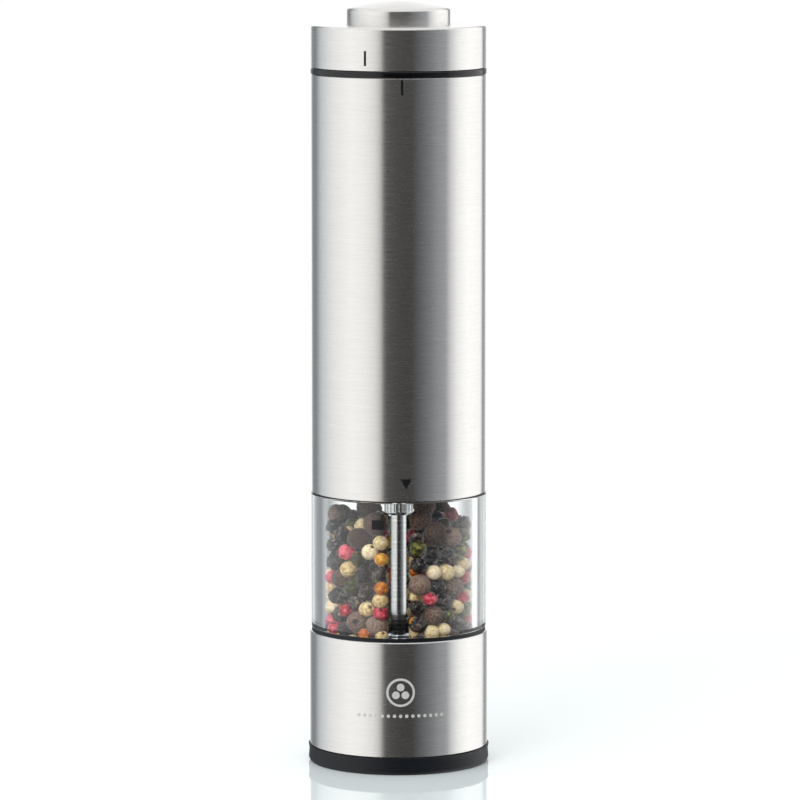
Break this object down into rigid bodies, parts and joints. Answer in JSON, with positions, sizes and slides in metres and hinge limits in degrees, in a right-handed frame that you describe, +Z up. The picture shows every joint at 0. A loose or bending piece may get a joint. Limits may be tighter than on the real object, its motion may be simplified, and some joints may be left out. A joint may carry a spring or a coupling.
{
  "type": "battery pepper mill",
  "caption": "Push-button battery pepper mill: steel grinder sleeve and clear chamber below a steel motor tube, twist-lock cap with a domed button.",
  "frame": {"origin": "centre of the dust cover's underside, on the surface the mill stands on", "axes": "+Z up along the mill's axis; -Y is the front, where the lock marks are; +X to the right seen from the front"},
  "size_m": [0.0522, 0.0522, 0.2191],
  "materials": {
    "brushed_steel": "fine brushing around the body, satin",
    "button_steel": "fine brushing, satin",
    "clear_acrylic": "clear, polished",
    "black_abs": "fine satin moulded",
    "gloss_black": "polished moulded",
    "white_ceramic": "unglazed, fine ground",
    "shaft_steel": "polished drawn rod",
    "sintered_bronze": "sintered, oiled",
    "acetal": "natural acetal gears",
    "grey_nylon": "moulded nylon",
    "spring_steel": "bright wire",
    "zinc_steel": "bright zinc plate",
    "nickel_sheet": "nickel plated brass sheet",
    "silicone": "translucent grey silicone",
    "magnet": "pressed ferrite",
    "lamination": "laminated steel, varnished",
    "cell_label": "printed plastic sleeve"
  },
  "bodies": {
    "grinder_base": {"grinder_sleeve": "brushed_steel", "grinder_housing": "black_abs", "burr_ring": "white_ceramic", "burr_retainer": "grey_nylon", "retainer_screws": "zinc_steel", "chamber": "clear_acrylic", "shaft_spider": "grey_nylon", "spider_bush": "sintered_bronze"},
    "dust_cover": {"dust_cover": "black_abs"},
    "grinding_shaft": {"drive_shaft": "shaft_steel", "agitator": "zinc_steel", "burr_spring": "spring_steel", "knob_nut": "zinc_steel"},
    "burr": {"burr_cone": "white_ceramic", "burr_carrier": "grey_nylon"},
    "adjust_knob": {"adjust_knob": "black_abs"},
    "neck_seal": {"chamber_seal": "silicone"},
    "motor_tube": {"body_tube": "brushed_steel", "tube_collar": "black_abs", "output_bush": "sintered_bronze", "gear_housing": "grey_nylon", "gear_cover": "zinc_steel", "gearbox_screws": "zinc_steel", "motor_can": "zinc_steel", "motor_magnets": "magnet", "motor_end_cap": "grey_nylon", "motor_screws": "zinc_steel", "motor_frame": "black_abs", "battery_holder": "black_abs", "battery_1": "cell_label", "battery_2": "cell_label", "battery_3": "cell_label", "battery_4": "cell_label", "battery_springs": "spring_steel", "battery_plates": "nickel_sheet", "contact_strips": "nickel_sheet", "top_ring": "gloss_black"},
    "drive_output": {"drive_socket": "shaft_steel", "output_carrier": "zinc_steel", "output_pins": "shaft_steel"},
    "stage": {"stage_carrier": "acetal", "stage_pins": "shaft_steel"},
    "motor_rotor": {"pinion": "acetal", "motor_shaft": "shaft_steel", "motor_armature": "lamination"},
    "cap_ring": {"cap_seal": "silicone"},
    "cap": {"cap_shell": "brushed_steel", "cap_liner": "black_abs", "cap_contacts": "nickel_sheet", "switch_contacts": "nickel_sheet"},
    "button": {"button_cap": "button_steel", "button_plunger": "black_abs", "contact_disc": "nickel_sheet", "button_spring": "spring_steel"},
    "output_planet_1": {"output_planet_1": "acetal"},
    "stage_planet_1": {"stage_planet_1": "acetal"},
    "output_planet_2": {"output_planet_2": "acetal"},
    "stage_planet_2": {"stage_planet_2": "acetal"},
    "output_planet_3": {"output_planet_3": "acetal"},
    "stage_planet_3": {"stage_planet_3": "acetal"}
  },
  "joints": [
    {"name": "cover_pull", "type": "slide", "parent": "grinder_base", "child": "dust_cover", "axis": [0, 0, -1], "range_m": [0, 0.015]},
    {"name": "body_turn", "type": "hinge", "parent": "grinder_base", "child": "neck_seal", "pos_m": [0, 0, 0.0784], "axis": [0, 0, 1], "range_deg": [-18.3, 0]},
    {"name": "body_lift", "type": "slide", "parent": "neck_seal", "child": "motor_tube", "axis": [0, 0, 1], "range_m": [0, 0.08]},
    {"name": "cap_turn", "type": "hinge", "parent": "motor_tube", "child": "cap_ring", "pos_m": [0, 0, 0.2001], "axis": [0, 0, 1], "range_deg": [0, 24.4]},
    {"name": "cap_lift", "type": "slide", "parent": "cap_ring", "child": "cap", "axis": [0, 0, 1], "range_m": [0, 0.03]},
    {"name": "button_press", "type": "slide", "parent": "cap", "child": "button", "axis": [0, 0, -1], "range_m": [0, 0.0025], "stiffness_N_per_m": 1200, "springref_m": -0.002, "deforming": ["button_spring"]},
    {"name": "motor_spin", "type": "hinge", "parent": "motor_tube", "child": "motor_rotor", "pos_m": [0, 0, 0.12], "axis": [0, 0, 1], "continuous": true},
    {"name": "stage_spin", "type": "hinge", "parent": "motor_tube", "child": "stage", "pos_m": [0, 0, 0.099], "axis": [0, 0, 1], "continuous": true},
    {"name": "output_spin", "type": "hinge", "parent": "motor_tube", "child": "drive_output", "pos_m": [0, 0, 0.09], "axis": [0, 0, 1], "continuous": true},
    {"name": "shaft_spin", "type": "hinge", "parent": "grinder_base", "child": "grinding_shaft", "pos_m": [0, 0, 0.04], "axis": [0, 0, 1], "continuous": true},
    {"name": "knob_turn", "type": "hinge", "parent": "grinding_shaft", "child": "adjust_knob", "pos_m": [0, 0, 0.009], "axis": [0, 0, 1], "range_deg": [0, 271]},
    {"name": "burr_drop", "type": "slide", "parent": "grinding_shaft", "child": "burr", "axis": [0, 0, -1], "range_m": [0, 0.000525], "deforming": ["burr_spring"]},
    {"name": "output_planet_1_spin", "type": "hinge", "parent": "drive_output", "child": "output_planet_1", "pos_m": [0.009, 0, 0.095], "axis": [0, 0, 1], "continuous": true},
    {"name": "stage_planet_1_spin", "type": "hinge", "parent": "stage", "child": "stage_planet_1", "pos_m": [0.009, 0, 0.102], "axis": [0, 0, 1], "continuous": true},
    {"name": "output_planet_2_spin", "type": "hinge", "parent": "drive_output", "child": "output_planet_2", "pos_m": [-0.0045, 0.00779, 0.095], "axis": [0, 0, 1], "continuous": true},
    {"name": "stage_planet_2_spin", "type": "hinge", "parent": "stage", "child": "stage_planet_2", "pos_m": [-0.0045, 0.00779, 0.102], "axis": [0, 0, 1], "continuous": true},
    {"name": "output_planet_3_spin", "type": "hinge", "parent": "drive_output", "child": "output_planet_3", "pos_m": [-0.0045, -0.00779, 0.095], "axis": [0, 0, 1], "continuous": true},
    {"name": "stage_planet_3_spin", "type": "hinge", "parent": "stage", "child": "stage_planet_3", "pos_m": [-0.0045, -0.00779, 0.102], "axis": [0, 0, 1], "continuous": true}
  ],
  "couplings": [
    {"joint": "output_spin", "follows": "shaft_spin", "ratio": 1},
    {"joint": "stage_spin", "follows": "shaft_spin", "ratio": 5},
    {"joint": "motor_spin", "follows": "shaft_spin", "ratio": 25},
    {"joint": "knob_turn", "follows": "burr_drop", "rad_per_m": 8976},
    {"joint": "output_planet_1_spin", "follows": "shaft_spin", "ratio": -2.6667},
    {"joint": "stage_planet_1_spin", "follows": "shaft_spin", "ratio": -13.333},
    {"joint": "output_planet_2_spin", "follows": "shaft_spin", "ratio": -2.6667},
    {"joint": "stage_planet_2_spin", "follows": "shaft_spin", "ratio": -13.333},
    {"joint": "output_planet_3_spin", "follows": "shaft_spin", "ratio": -2.6667},
    {"joint": "stage_planet_3_spin", "follows": "shaft_spin", "ratio": -13.333}
  ]
}
